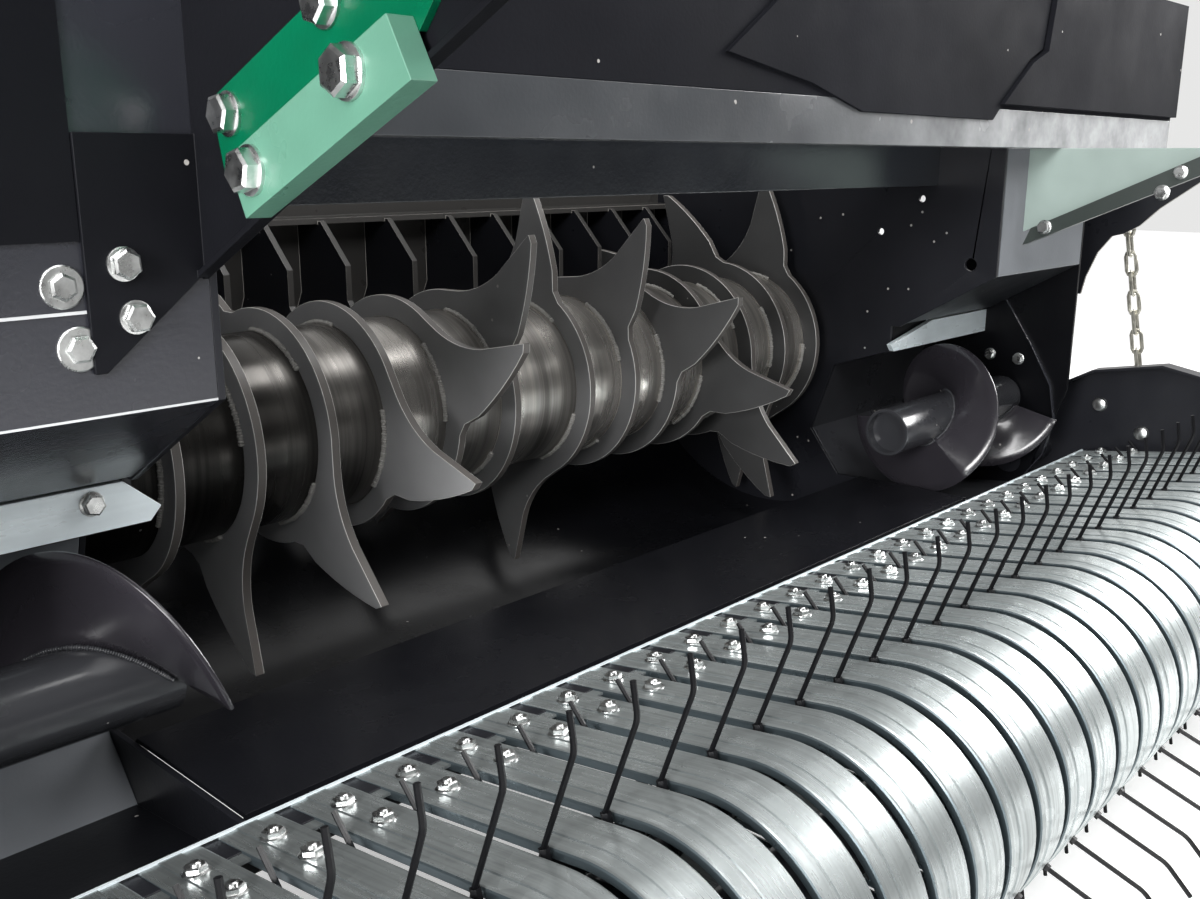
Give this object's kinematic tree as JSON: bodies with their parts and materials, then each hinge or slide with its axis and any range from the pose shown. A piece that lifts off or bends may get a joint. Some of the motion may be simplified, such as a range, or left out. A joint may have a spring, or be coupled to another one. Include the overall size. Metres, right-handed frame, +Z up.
{
  "type": "round baler intake unit",
  "caption": "Crop intake of a round baler: tined pick-up reel under galvanised guard bands, side augers and a star-tine feed rotor between channel side walls.",
  "frame": {"origin": "centre of the rear flanges' bolt rectangle, level with the feed rotor's axis", "axes": "+X to the right across the machine, +Y rearward into the machine, +Z up"},
  "size_m": [2.213, 1.2696, 1.035],
  "materials": {
    "black_sheet": "satin black paint",
    "grey_sheet": "dark grey satin paint",
    "rotor_paint": "glossy dark paint, worn",
    "zinc": "galvanised",
    "wire": "black spring wire",
    "green": "gloss green paint",
    "pale_green": "gloss pale green paint"
  },
  "bodies": {
    "intake_frame": {"wall_left": "black_sheet", "wall_right": "black_sheet", "floor_pan": "grey_sheet", "auger_trough_left": "grey_sheet", "auger_trough_right": "grey_sheet", "front_panel_left": "grey_sheet", "front_panel_right": "grey_sheet", "scraper_left": "zinc", "scraper_right": "zinc", "end_plate_left": "black_sheet", "end_plate_right": "black_sheet", "stripper_comb": "black_sheet", "beam_middle": "black_sheet", "beam_front": "black_sheet", "hood_panels": "black_sheet", "cover_left": "black_sheet", "bracket_plate_left": "green", "bracket_angle_left": "pale_green", "gusset_right": "pale_green", "bracket_angle_right": "pale_green", "chain_arm_right": "black_sheet", "lift_chain": "zinc"},
    "feed_rotor": {"rotor_tube": "rotor_paint", "rotor_stars": "grey_sheet"},
    "auger_left": {"auger_left": "grey_sheet"},
    "auger_right": {"auger_right": "grey_sheet"},
    "pickup_frame": {"guard_bands": "zinc", "band_rails": "black_sheet", "shield_left": "black_sheet", "shield_right": "black_sheet"},
    "pickup_reel": {"reel_core": "black_sheet", "tine_bar_1": "wire", "tine_bar_2": "wire", "tine_bar_3": "wire", "tine_bar_4": "wire"}
  },
  "joints": [
    {"name": "rotor_spin", "type": "hinge", "parent": "intake_frame", "child": "feed_rotor", "pos_m": [0, -0.4, 0], "axis": [1, 0, 0], "continuous": true},
    {"name": "auger_left_spin", "type": "hinge", "parent": "intake_frame", "child": "auger_left", "pos_m": [-0.7, -0.68, -0.106], "axis": [1, 0, 0], "continuous": true},
    {"name": "auger_right_spin", "type": "hinge", "parent": "intake_frame", "child": "auger_right", "pos_m": [0.7, -0.68, -0.106], "axis": [1, 0, 0], "continuous": true},
    {"name": "pickup_lift", "type": "hinge", "parent": "intake_frame", "child": "pickup_frame", "pos_m": [0, -0.7, -0.215], "axis": [-1, 0, 0], "range_deg": [-4, 15]},
    {"name": "reel_spin", "type": "hinge", "parent": "pickup_frame", "child": "pickup_reel", "pos_m": [0, -1.062, -0.284], "axis": [-1, 0, 0], "continuous": true}
  ]
}
